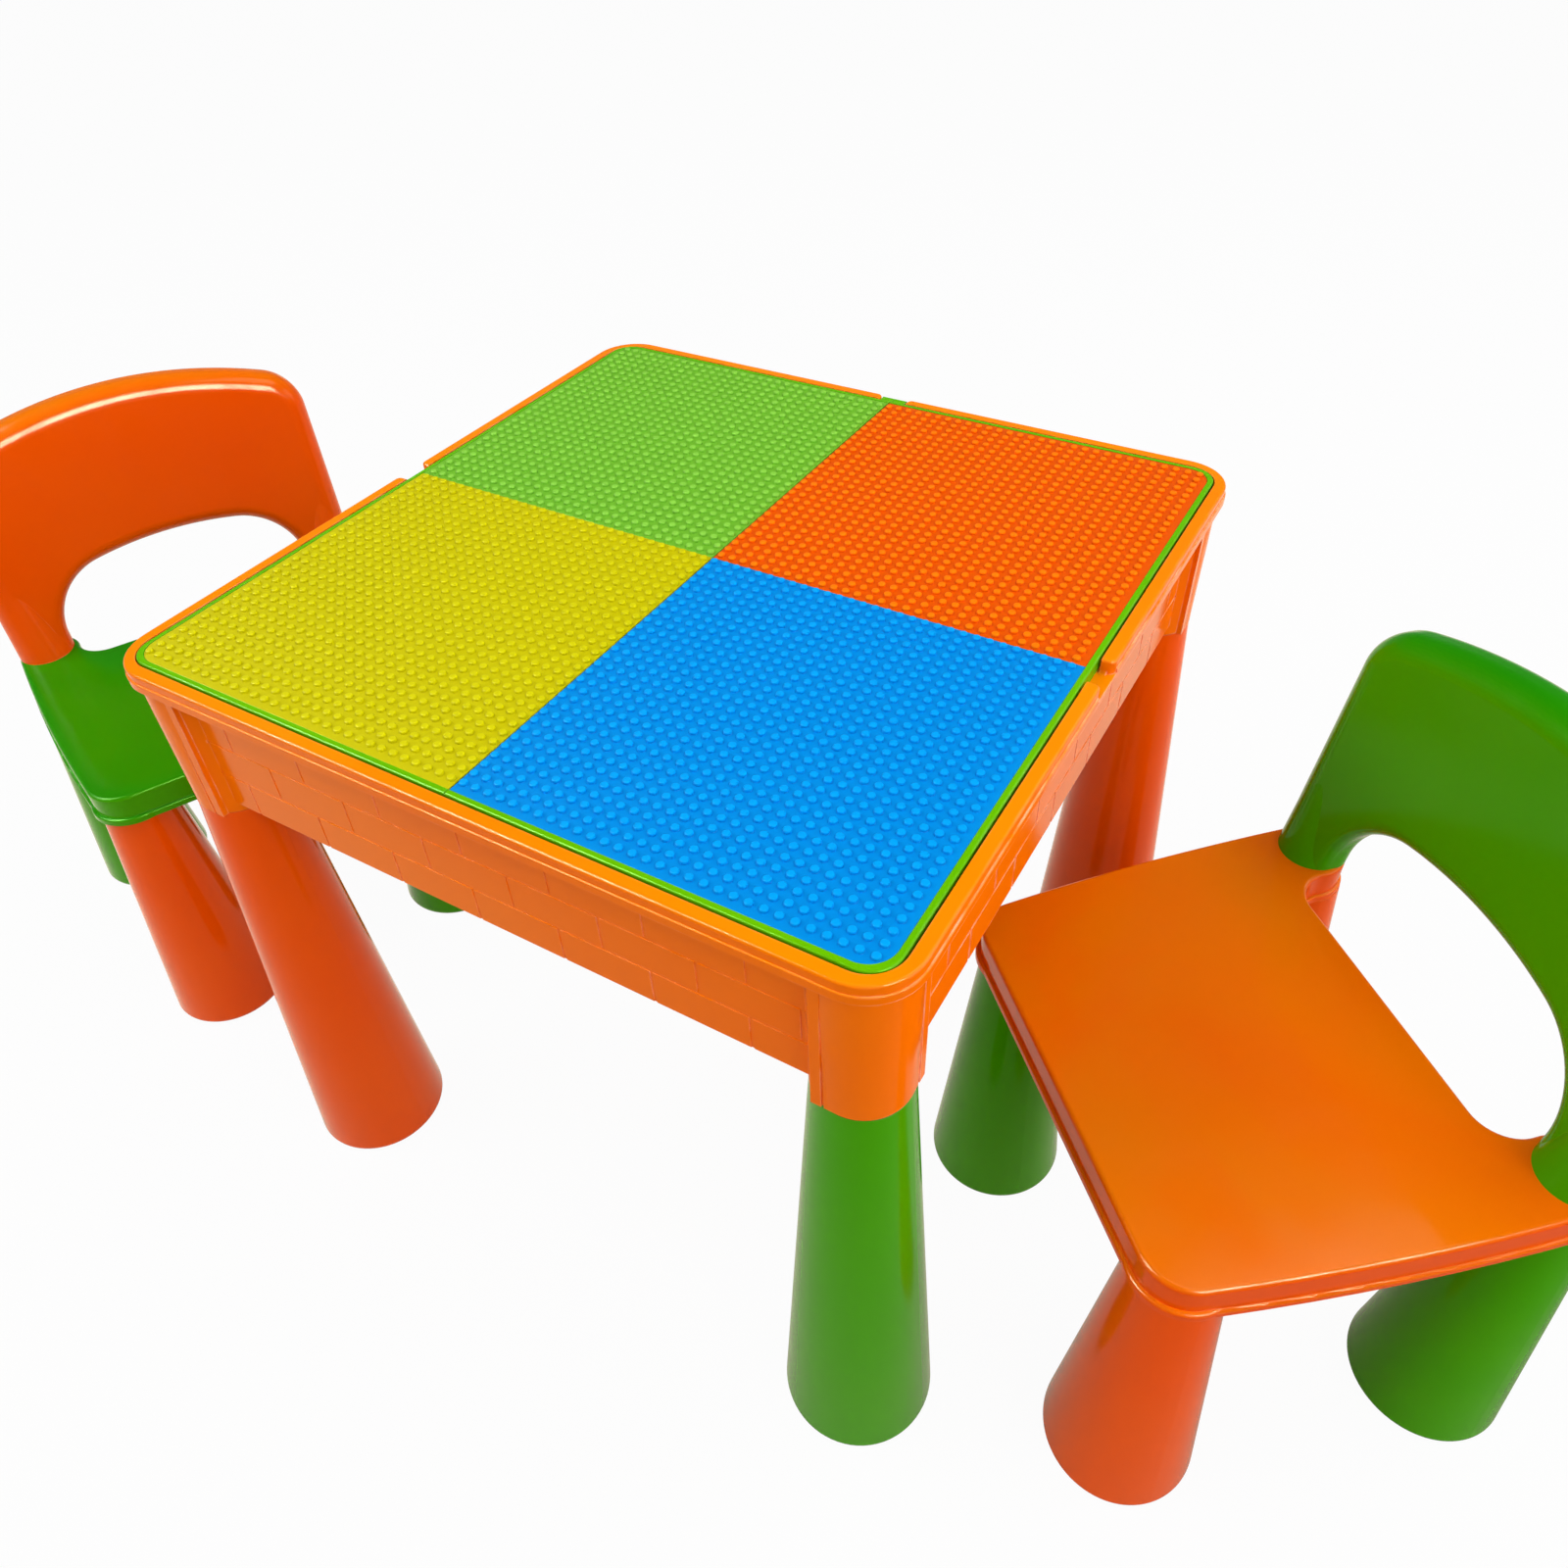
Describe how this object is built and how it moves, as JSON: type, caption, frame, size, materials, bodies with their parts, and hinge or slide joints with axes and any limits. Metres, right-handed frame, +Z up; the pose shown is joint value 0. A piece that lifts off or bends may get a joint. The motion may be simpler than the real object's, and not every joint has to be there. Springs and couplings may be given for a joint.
{
  "type": "kids table and chairs",
  "caption": "Play table with lift-off building-brick stud lids over a storage tub, on cone legs, with separate chairs that have curved, open backrests.",
  "frame": {"origin": "middle of the bounding box of the table and both chairs as they stand, on the floor", "axes": "+X from the left chair to the right chair, along the table's front; +Y from the table's front to its back; +Z up"},
  "size_m": [1.2946, 0.5483, 0.4678],
  "materials": {
    "orange_plastic": "glossy moulded polypropylene",
    "green_plastic": "glossy moulded polypropylene",
    "yellow_studs": "satin moulded stud plate",
    "light_green_studs": "satin moulded stud plate",
    "orange_studs": "satin moulded stud plate",
    "blue_studs": "satin moulded stud plate"
  },
  "bodies": {
    "table": {"table_body": "orange_plastic", "table_leg_front_left": "orange_plastic", "table_leg_front_right": "green_plastic", "table_leg_rear_left": "green_plastic", "table_leg_rear_right": "orange_plastic"},
    "left_lid": {"lid_left": "green_plastic", "plate_yellow": "yellow_studs", "plate_light_green": "light_green_studs"},
    "right_lid": {"lid_right": "green_plastic", "plate_orange": "orange_studs", "plate_blue": "blue_studs"},
    "left_chair": {"left_chair_seat": "green_plastic", "left_chair_backrest": "orange_plastic", "left_chair_leg_front_left": "green_plastic", "left_chair_leg_front_right": "orange_plastic", "left_chair_leg_rear_left": "orange_plastic", "left_chair_leg_rear_right": "green_plastic"},
    "right_chair": {"right_chair_seat": "orange_plastic", "right_chair_backrest": "green_plastic", "right_chair_leg_front_left": "orange_plastic", "right_chair_leg_front_right": "green_plastic", "right_chair_leg_rear_left": "green_plastic", "right_chair_leg_rear_right": "orange_plastic"}
  },
  "joints": [
    {"name": "left_lid_lift", "type": "slide", "parent": "table", "child": "left_lid", "axis": [0, 0, 1], "range_m": [0, 0.25]},
    {"name": "right_lid_lift", "type": "slide", "parent": "table", "child": "right_lid", "axis": [0, 0, 1], "range_m": [0, 0.25]},
    {"name": "left_chair_pull_out", "type": "slide", "parent": "table", "child": "left_chair", "axis": [-0.9018, 0.4321, 0], "range_m": [-0.12, 0.3]},
    {"name": "right_chair_pull_out", "type": "slide", "parent": "table", "child": "right_chair", "axis": [0.7145, 0.6997, 0], "range_m": [-0.08, 0.3]}
  ]
}
